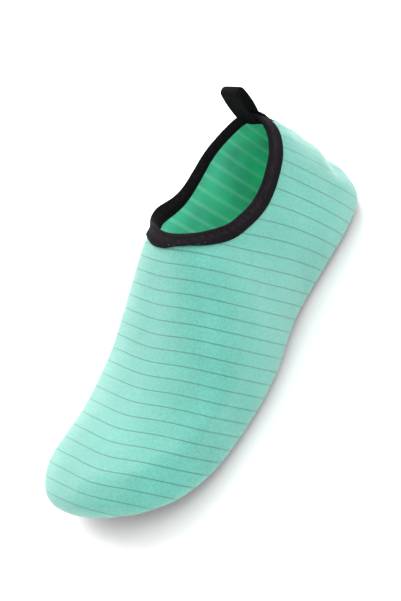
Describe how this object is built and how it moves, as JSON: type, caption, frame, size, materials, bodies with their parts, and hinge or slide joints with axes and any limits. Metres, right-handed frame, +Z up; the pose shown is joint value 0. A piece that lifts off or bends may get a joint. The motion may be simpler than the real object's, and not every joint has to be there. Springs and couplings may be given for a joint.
{
  "type": "water shoe",
  "caption": "Slip-on water shoe for the left foot: stretchy knitted upper with thin stripes, bound collar, heel pull loop and thin rubber sole with a lugged tread.",
  "frame": {"origin": "on the ground under the middle of the whole shoe's box", "axes": "+X from the heel to the toe, +Y to the outer side of the left foot, +Z up"},
  "size_m": [0.2514, 0.096, 0.0982],
  "materials": {
    "outsole_rubber": "matte moulded charcoal rubber",
    "insole_foam": "dark grey fabric-faced foam",
    "upper_knit": "mint stretch knit with thin darker stripes",
    "binding_tape": "black folded binding tape with a faint sheen",
    "pull_webbing": "black woven webbing"
  },
  "bodies": {
    "root": {"outsole": "outsole_rubber", "insole": "insole_foam", "upper": "upper_knit", "collar_binding": "binding_tape", "pull_tape": "pull_webbing"}
  },
  "joints": []
}
